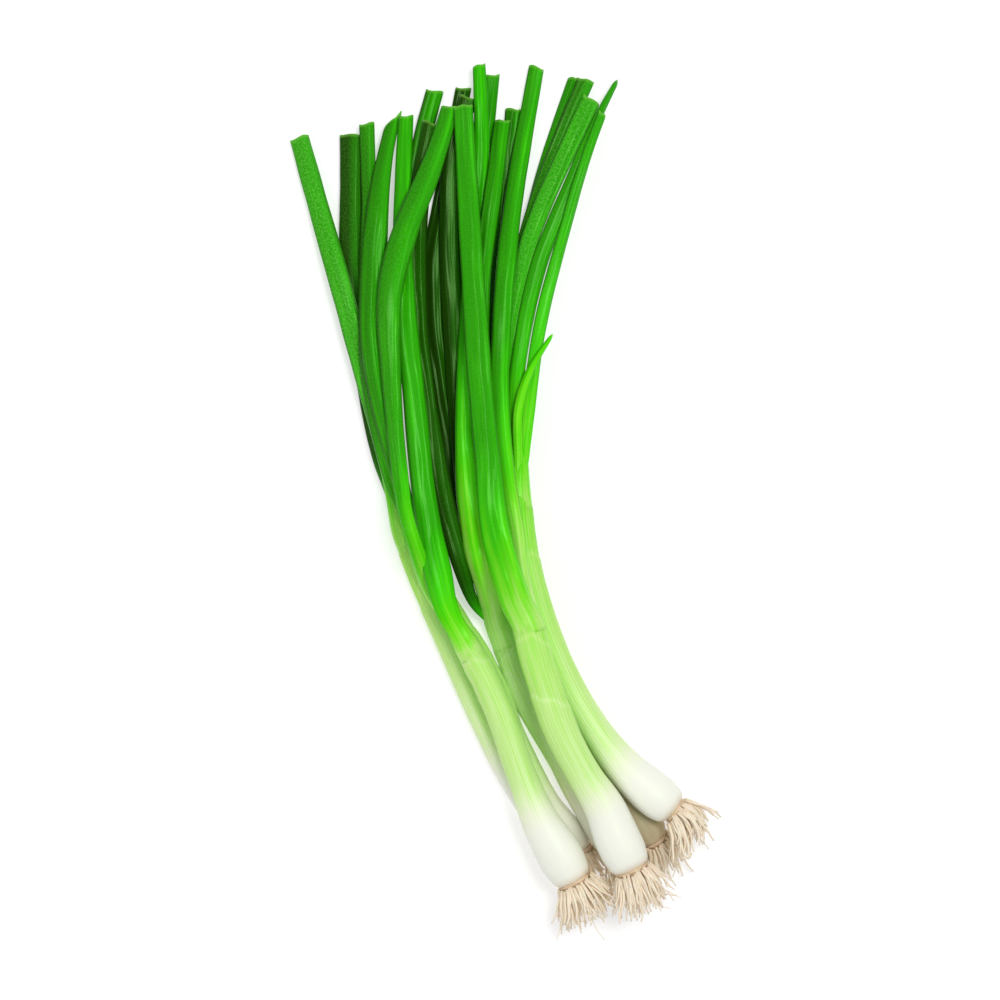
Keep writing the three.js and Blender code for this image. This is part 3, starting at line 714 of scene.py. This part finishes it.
# Leaves that are fuller than their solid: how much wider, how far to the side, and from where to where past
# the mouth.
FULLER_LEAVES = {
    "onion_e_leaf_4": (0.40, 1.0 * MM, 0.002, 0.085), "onion_b_leaf_3": (0.12, -2.0 * MM, -0.004, 0.070),
    "onion_e_leaf_1": (0.16, 0.7 * MM, 0.060, 0.180), "onion_g_leaf_3": (0.10, 0.6 * MM, 0.090, 0.165)}

# The leaves that continue the sheath: from where to where past the mouth they narrow to their own width.
SHEATH_LEAVES = {
    "onion_a_leaf_2": (0.001, 0.011), "onion_b_leaf_3": (0.010, 0.058), "onion_c_leaf_1": (0.002, 0.035),
    "onion_d_leaf_4": (0.002, 0.030), "onion_e_leaf_4": (0.005, 0.050), "onion_f_leaf_2": (0.003, 0.040),
    "onion_g_leaf_2": (0.003, 0.035),
}

# A leaf that leaves its sheath a little to one side and lower: (x, y, z).
START_SHIFT = {"onion_g_leaf_2": np.array([-2.2, -0.8, -0.8]) * MM}

# A leaf starts as ripe as its mouth, except this one, which starts paler. How quickly it turns green past the
# mouth is a power, lower for a quicker turn.
FIRST_RIPENESS = {"onion_b_leaf_2": 0.30}
GREENING = {"a": 0.55}
USUAL_GREENING = 0.85

print("leaves to make:", len(LEAF_LOOKS), "of which the sheath runs on into", len(SHEATH_LEAVES))

# %% [markdown]
# Each leaf also has a soft ridge and a groove that wander along its top, and it rolls and varies in width a
# little, because no two are alike. At the cut end the skin turns over a thin pale rim and runs back down the
# inside, which is painted dark as shade. One face and both edges of a leaf are painted darker than the rest,
# as shade.

# %% Leaves
LEAF_ROW_SPACING = 1.3 * MM
LEAF_COLUMNS = 44
LEAF_WALL = 0.5 * MM
LEAF_GIRTH = 5
BORE_DEPTH = 14 * MM
SOCKET_DEPTH = 9 * MM
FREE_LENGTH = 30 * MM
ROLL = 0.18
WIDTH_CHANGE = 0.035
HEIGHT_CHANGE = 0.06
ROUNDNESS = (0.92, 0.85)
CUT_WAVE = 0.25 * MM
# How much painted shade darkens both edges of a leaf.
EDGE_SHADE = 0.4
LEAST_HALF_SIZE = 0.01 * MM
LEAF_SEED = 200


def onion_of(name):
    """The letter of the onion that a leaf belongs to."""
    return name.removeprefix("onion_")[0]


def leaf_sections(name):
    """A leaf's sections. A leaf that continues the sheath blends from the mouth's section, just inside the
    lip, to its own: values = own * (1 - keep) + mouth * keep, where keep falls from 1 to 0."""
    sections = resample(leaf_strands[name], LEAF_ROW_SPACING)
    past_mouth = sections["walked"] - SOCKET_DEPTH
    wider, sideways, start, end = FULLER_LEAVES.get(name, AS_THE_SOLID)
    share = ease(past_mouth, start, start + 0.015) * (1 - ease(past_mouth, end - 0.04, end))
    sections = fuller(sections, share, wider, sideways)
    if name not in SHEATH_LEAVES:
        return sections
    shank = shank_sections(onion_of(name))
    keep = 1 - ease(past_mouth, *SHEATH_LEAVES[name])
    at_mouth = np.argmin(np.abs(past_mouth))
    shift = shank["centre"][-1] - sections["centre"][at_mouth] + START_SHIFT.get(name, 0)
    blended = {"centre": sections["centre"] + shift * keep[:, None]}
    for key in ("half_width", "half_height"):
        blended[key] = sections[key] * (1 - keep) + (shank[key][-1] - LIP_THICKNESS) * keep
    outside = past_mouth > -LIP_LENGTH * 0.8
    blended = with_directions({key: value[outside] for key, value in blended.items()})
    blended["walked"] = sections["walked"][outside]
    return blended


def leaf_relief(walked, angle, free, seed, draw):
    """A ridge and a groove, as a share of the half height: two bells round the section whose middles wander
    along the leaf, fading out towards its sides and its mouth."""
    ridge_at = draw.uniform(-0.55, 0.55) + 0.25 * waves(walked, seed + 7, 0.16)[:, None]
    groove_at = ridge_at + draw.choice([-0.5, 0.5]) + 0.1 * waves(walked, seed + 8, 0.1)[:, None]
    ridge = draw.uniform(0.16, 0.3) * np.exp(-((np.cos(angle) - ridge_at) / 0.2) ** 2)
    groove = draw.uniform(0.12, 0.25) * np.exp(-((np.cos(angle) - groove_at) / 0.17) ** 2)
    return (ridge - groove) * np.sqrt(np.clip(np.sin(angle), 0, 1)) * free


def leaf_half_sizes(name, sections, free, seed):
    """Half width and half height along a leaf, both wandering a little, and closing to a point on a pointed
    leaf."""
    walked = sections["walked"]
    width_wave = waves(walked, seed + 50, 0.07)[:, None] * free
    height_wave = waves(walked, seed + 90, 0.05)[:, None] * free
    width = sections["half_width"][:, None] * (1 + WIDTH_CHANGE * width_wave)
    height = sections["half_height"][:, None] * (1 + HEIGHT_CHANGE * height_wave)
    if name in POINTED_LEAVES:
        to_tip = np.sqrt(np.clip((walked[-1] - walked) / 0.002, 0, 1))[:, None]
        width, height = width * to_tip + LEAST_HALF_SIZE, height * to_tip + LEAST_HALF_SIZE
    return width, height


def leaf_ageing(age, green_at, past_mouth, angle, free, draw):
    """How dark a leaf is: darker with how old it is, and with painted shade on one face and along both edges.
    """
    ageing = age * ease(past_mouth, 0, green_at * 1.5)[:, None]
    # Painted shade: one face of the leaf and both of its edges are darkened where less light falls.
    shaded_face = ease(np.cos(angle - draw.uniform(2.5, 3.7)), -0.1, 0.6)
    shaded_edges = EDGE_SHADE * ease(np.abs(np.cos(angle)), 0.72, 1.0) * ease(past_mouth, 0.01, 0.06)[:, None]
    return np.clip(ageing + draw.uniform(0.15, 0.45) * free * shaded_face + shaded_edges, 0, 1)


def make_leaf(name, seed):
    """A leaf's skin: centre + side * w * X + up * h * Z, where (X, Z) goes round a squarish oval with a ridge
    and a groove on its upper half and rolls to and fro by a few degrees. Rows past the tip run back inside at
    the wall's thickness."""
    draw = np.random.default_rng(seed)
    sections = leaf_sections(name)
    walked = sections["walked"]
    length = walked[-1]
    past_mouth = walked - SOCKET_DEPTH
    green_at, age, speckle, slant = LEAF_LOOKS[name]
    angle = round_angles(LEAF_COLUMNS)
    free = ease(past_mouth, 0, FREE_LENGTH)[:, None]
    roll = ROLL * waves(walked, seed, 0.12)[:, None] * free
    width, height = leaf_half_sizes(name, sections, free, seed)
    relief = leaf_relief(walked, angle, free, seed, draw)
    oval_x = np.sign(np.cos(angle)) * np.abs(np.cos(angle)) ** ROUNDNESS[0]
    oval_z = np.sign(np.sin(angle)) * np.abs(np.sin(angle)) ** ROUNDNESS[1]

    def ring(rows, inset):
        """Points round the sections of these rows, moved inwards by the inset."""
        x = (width[rows] - inset) * oval_x
        z = (height[rows] - inset) * (oval_z + relief[rows])
        turned_x = x * np.cos(roll[rows]) - z * np.sin(roll[rows])
        turned_z = x * np.sin(roll[rows]) + z * np.cos(roll[rows])
        points = sweep({key: sections[key][rows] for key in ("centre", "side", "up")}, turned_x, turned_z)
        near_cut = ease(walked[rows], length - 0.006, length)[:, None]
        lead = near_cut * (slant * np.cos(angle) + CUT_WAVE * np.sin(3 * angle + seed))
        return points + sections["along"][rows][:, None] * lead[..., None]

    rows = np.arange(len(walked))
    parts, part_rows = [ring(rows, 0)], [rows]
    cut, inside = [0.5 * (rows == rows[-1])], [np.zeros(len(rows))]
    if name not in POINTED_LEAVES:
        bore_rows = np.flatnonzero(walked > length - BORE_DEPTH)[::-1]
        parts.append(ring(bore_rows, LEAF_WALL))
        part_rows.append(bore_rows)
        cut.append(1.0 * (bore_rows == bore_rows[0]))
        # Painted shade down the hollow, darkest deepest in.
        inside.append(ease(length - walked[bore_rows], 0.0, 0.002))
    rows = np.concatenate(part_rows)
    grid = np.concatenate(parts)
    grid[..., 2] = np.maximum(grid[..., 2], FLOOR_CLEARANCE)

    start = FIRST_RIPENESS.get(name, MOUTH_RIPENESS[onion_of(name)])
    greening = GREENING.get(onion_of(name), USUAL_GREENING)
    ripeness = start + (1 - start) * np.clip(past_mouth / green_at, 0, 1) ** greening
    ageing = leaf_ageing(age, green_at, past_mouth, angle, free, draw)
    values = skin_values(ripeness=ripeness[rows][:, None], age=ageing[rows], speckle=np.full((1, 1), speckle),
                         cut=np.concatenate(cut)[:, None], inside=np.concatenate(inside)[:, None])
    piece_name = name.replace("onion_", "blade_")
    mesh = tube_mesh(piece_name, grid, values, walked[rows], LEAF_GIRTH * sections["half_width"].mean())
    return place_piece(piece_name, mesh, leaf_skin, name)


leaves = {name: make_leaf(name, LEAF_SEED + index) for index, name in enumerate(LEAF_LOOKS)}
print("leaves:", len(leaves), "with", sum(len(leaf.data.polygons) for leaf in leaves.values()), "faces")

# %% [markdown]
# The roots hang from a hard plate under the bulb. Both are dry and cream-coloured, the plate browner and
# patchy.

# %% Skin of the roots
ROOT_GRAIN = (0.0005, 0.004)
PLATE_PATCHES = (0.004, 0.006)
ROOT_CREAMS = ((0.93, 0.77, 0.57, 1), (0.99, 0.91, 0.76, 1))
PLATE_BROWNS = ((0.60, 0.40, 0.22, 1), (0.90, 0.74, 0.54, 1))
ROOT_ROUGHNESS = 0.7
ROOT_BUMP = 0.4
ROOT_TRANSLUCENCY = 0.1
ROOT_BUMP_DISTANCE = 0.2 * MM


def root_material():
    """Dry cream threads, browner towards the plate and in patches."""
    material, tree, shader = new_material("root_skin")
    grain = stretched_noise(tree, *ROOT_GRAIN)
    cream = blend_colours(tree, grain, *ROOT_CREAMS)
    plate = blend_colours(tree, stretched_noise(tree, *PLATE_PATCHES), *PLATE_BROWNS)
    colour = blend_colours(tree, corner_value(tree, "plate"), cream, plate)
    tree.links.new(colour, shader.inputs["Base Color"])
    shader.inputs["Roughness"].default_value = ROOT_ROUGHNESS
    add_relief(tree, shader, grain, ROOT_BUMP, ROOT_BUMP_DISTANCE)
    shader.inputs["Subsurface Weight"].default_value = ROOT_TRANSLUCENCY
    shader.inputs["Subsurface Scale"].default_value = 1 * MM
    return material


root_skin = root_material()
print("root material:", root_skin.name)

# %% [markdown]
# Each root is a thin tapering thread that leaves the plate outwards, curls at random, sags to the surface and
# stays below the top of the heap. All roots of a tuft are worked out at once: an array of threads by steps
# holds their headings, and adding the headings up gives their paths.

# %% Paths of the roots
ROOT_THREADS = {"a": 130, "b": 130, "c": 110, "d": 70, "e": 40, "f": 24, "g": 30}
STRAY_THREADS = {"a": 9, "b": 5, "c": 5, "d": 2, "e": 0, "f": 0, "g": 0}
ROOTS_LEAN = {"a": (-0.1, -0.6, 0), "b": (-0.2, -0.5, 0), "c": (-0.6, -0.8, 0), "d": (-0.3, -0.7, 0),
              "e": (0.1, -0.5, 0), "f": (1.1, -0.1, 0), "g": (0.2, -0.4, 0)}
ROOT_STEPS = 16
ROOT_LENGTH = (12 * MM, 19 * MM)
ROOT_RADIUS = (0.48 * MM, 0.75 * MM)
ROOT_TAPER = 0.55
ROOT_CURL = 0.3
ROOT_WAVE = 0.22
STRAY_LENGTH = 1.35
STRAY_CURL = 4
STRAY_THINNESS = 0.6
GOLDEN_ANGLE = math.pi * (3 - math.sqrt(5))
RIM_SHARE = 0.4
PLATE_SHARE = 0.86


def thread_starts(letter, draw):
    """Where each thread of a tuft leaves the plate, and which way it heads at first.

    The threads stand at golden angles, some round the rim and the rest spread evenly over the plate.
    """
    count = ROOT_THREADS[letter]
    number = np.arange(count)
    sections = with_directions(shank_strands[letter])
    tip, out = sections["centre"][0], -sections["along"][0]
    side, up = sections["side"][0], sections["up"][0]
    turn = number * GOLDEN_ANGLE + draw.uniform(0, 6)
    on_rim = number % 10 < 10 * RIM_SHARE
    share = np.where(on_rim, 1.0, np.sqrt((number + 0.5) / count))
    outwards = np.cos(turn)[:, None] * side + np.sin(turn)[:, None] * up
    start = np.where(on_rim, draw.uniform(-0.4 * MM, 0.6 * MM, count), 1.2 * MM)
    reach = sections["half_width"][0] * PLATE_SHARE * share
    origin = tip + out * start[:, None] + outwards * reach[:, None]
    lean = (0.05 + 0.70 * draw.random(count))[:, None] * share[:, None]
    return origin, out + outwards * lean


def thread_paths(letter, seed):
    """Paths and radii of all threads of a tuft, as threads by steps by x, y, z.

    A heading starts along the bulb's axis, leaning outwards by the thread's place on the plate, and turns a
    little each step by a curl of its own, a wave and its weight. The path is the running sum of headings.
    """
    draw = np.random.default_rng(seed)
    count = ROOT_THREADS[letter]
    origin, heading = thread_starts(letter, draw)
    length = draw.uniform(*ROOT_LENGTH, count)
    stray = np.arange(count) < STRAY_THREADS[letter]
    length = np.where(stray, length * STRAY_LENGTH, length)
    step = np.linspace(0, 1, ROOT_STEPS)[None, :, None]
    curl = draw.normal(0, ROOT_CURL, (count, 1, 3)) * np.where(stray, STRAY_CURL, 1)[:, None, None]
    wave_turns = step * draw.uniform(6, 14, (count, 1, 1)) + draw.uniform(0, 6, (count, 1, 3))
    wave = ROOT_WAVE * np.sin(wave_turns)
    weight = np.array([0, 0, -1.0]) * step * draw.uniform(0.6, 1.6, (count, 1, 1))
    bend = curl * step + wave * step ** 0.5 + weight + np.array(ROOTS_LEAN[letter]) * step
    headings = heading[:, None] + bend
    headings /= np.linalg.norm(headings, axis=2, keepdims=True)
    paths = origin[:, None] + np.cumsum(headings, axis=1) * (length / ROOT_STEPS)[:, None, None]
    radii = draw.uniform(*ROOT_RADIUS, count)[:, None] * np.where(stray, STRAY_THINNESS, 1)[:, None]
    radii = radii * (1 - ROOT_TAPER * step[..., 0])
    paths[..., 2] = np.clip(paths[..., 2], radii, cad_bounds[1][2] - radii)
    return paths, radii


print("threads in all:", sum(ROOT_THREADS.values()))

# %% [markdown]
# Each thread becomes a closed tube with six sides. The threads of a tuft and its plate are joined into one
# piece.

# %% Roots
ROOT_SIDES = 6
THREAD_GIRTH = 3 * MM
THREAD_BROWNING = 0.45
PLATE_ROWS = 10
PLATE_COLUMNS = 40
PLATE_LENGTH = 2.6 * MM
PLATE_GIRTH = 20 * MM
ROOT_SEED = 300


def thread_mesh(path, radius):
    """One root: a round tube along its path, browner in its first few millimetres."""
    sections = with_directions({"centre": path})
    angle = round_angles(ROOT_SIDES)
    grid = sweep(sections, radius[:, None] * np.cos(angle), radius[:, None] * np.sin(angle))
    near_plate = 1 - ease(sections["walked"], 0, 4 * MM)
    return tube_mesh("thread", grid, {"plate": near_plate[:, None] * THREAD_BROWNING},
                     sections["walked"], THREAD_GIRTH)


def plate_mesh(letter, seed):
    """The root plate: a low dome, whose radius falls as the square root towards its end, with lumps."""
    sections = with_directions(shank_strands[letter])
    share = np.linspace(0, 1, PLATE_ROWS)
    out = -sections["along"][0]
    centres = sections["centre"][0] + out * (share * PLATE_LENGTH)[:, None]
    rows = {"centre": centres, "side": np.repeat(-sections["side"][:1], PLATE_ROWS, axis=0),
            "up": np.repeat(sections["up"][:1], PLATE_ROWS, axis=0)}
    angle = round_angles(PLATE_COLUMNS)
    lumps = 1 + 0.05 * np.cos(7 * angle + seed) * np.sin(5 * share[:, None] + seed)
    radius = sections["half_width"][0] * PLATE_SHARE * np.sqrt(1 - 0.8 * share ** 2)[:, None] * lumps
    grid = sweep(rows, radius * np.cos(angle), radius * np.sin(angle))
    return tube_mesh("plate", grid, {"plate": np.ones((1, 1))}, share * PLATE_LENGTH, PLATE_GIRTH)


def join_meshes(name, meshes):
    """One mesh from several. The objects that carry them for the join are removed again."""
    parts = [bpy.data.objects.new(f"{name}_{index}", mesh) for index, mesh in enumerate(meshes)]
    for part in parts:
        bpy.context.scene.collection.objects.link(part)
    with bpy.context.temp_override(active_object=parts[0], selected_editable_objects=parts,
                                   selected_objects=parts, object=parts[0]):
        bpy.ops.object.join()
    mesh = parts[0].data
    bpy.data.objects.remove(parts[0])
    mesh.name = name
    return mesh


def make_tuft(letter, seed):
    """A tuft of roots: its threads and the plate that they grow from."""
    paths, radii = thread_paths(letter, seed)
    meshes = [thread_mesh(path, radius) for path, radius in zip(paths, radii)]
    meshes.append(plate_mesh(letter, seed))
    mesh = join_meshes(f"tuft_{letter}", meshes)
    return place_piece(f"tuft_{letter}", mesh, root_skin, f"onion_{letter}_roots")


tufts = {letter: make_tuft(letter, ROOT_SEED + index) for index, letter in enumerate(ONION_LETTERS)}
print("faces of each tuft:", {letter: len(tuft.data.polygons) for letter, tuft in tufts.items()})

# %% [markdown]
# The bunch lies on a plain white surface under soft studio light: a panel overhead, a weaker one from the
# side to shape the bulbs, and an even white surrounding that fills the shadows. The surface glows a little,
# because the photograph's background is pure white up to the bunch.

# %% Floor and light
FLOOR_HALF_SIZE = 1.5
FLOOR_GREY = (0.6, 0.6, 0.6, 1)
FLOOR_ROUGHNESS = 0.9
FLOOR_GLOW = 0.5
SURROUNDING_STRENGTH = 0.42
# Each panel's place, side length in metres and power in watts.
KEY_PANEL = ((0.26, 0.20, 1.10), 0.35, 6.8)
FILL_PANEL = ((-0.7, -0.1, 0.8), 0.5, 1.8)
WHITE = (1, 1, 1, 1)


def make_floor():
    """A flat white square under the bunch."""
    half = FLOOR_HALF_SIZE
    corners = [(-half, -half, 0), (half, -half, 0), (half, half, 0), (-half, half, 0)]
    mesh = bpy.data.meshes.new("floor")
    mesh.from_pydata(corners, [], [(0, 1, 2, 3)])
    material, _, shader = new_material("floor_white")
    shader.inputs["Base Color"].default_value = FLOOR_GREY
    shader.inputs["Roughness"].default_value = FLOOR_ROUGHNESS
    shader.inputs["Emission Color"].default_value = WHITE
    shader.inputs["Emission Strength"].default_value = FLOOR_GLOW
    mesh.materials.append(material)
    floor = bpy.data.objects.new("floor", mesh)
    bpy.context.scene.collection.objects.link(floor)


def add_panel(name, place, size, power):
    """A square light panel at a place, turned towards the origin."""
    data = bpy.data.lights.new(name, "AREA")
    data.size = size
    data.energy = power
    panel = bpy.data.objects.new(name, data)
    panel.location = place
    panel.rotation_euler = (-Vector(place)).to_track_quat("-Z", "Y").to_euler()
    bpy.context.scene.collection.objects.link(panel)


make_floor()
add_panel("key_panel", *KEY_PANEL)
add_panel("fill_panel", *FILL_PANEL)

world = bpy.data.worlds.new("studio")
world.use_nodes = True
world.node_tree.nodes["Background"].inputs["Color"].default_value = WHITE
world.node_tree.nodes["Background"].inputs["Strength"].default_value = SURROUNDING_STRENGTH
bpy.context.scene.world = world
bpy.context.scene.view_settings.view_transform = "Standard"

# %% [markdown]
# Last, the size of the imported model is printed.

# %% Sizes and finish
print("CAD box:", cad_bounds)
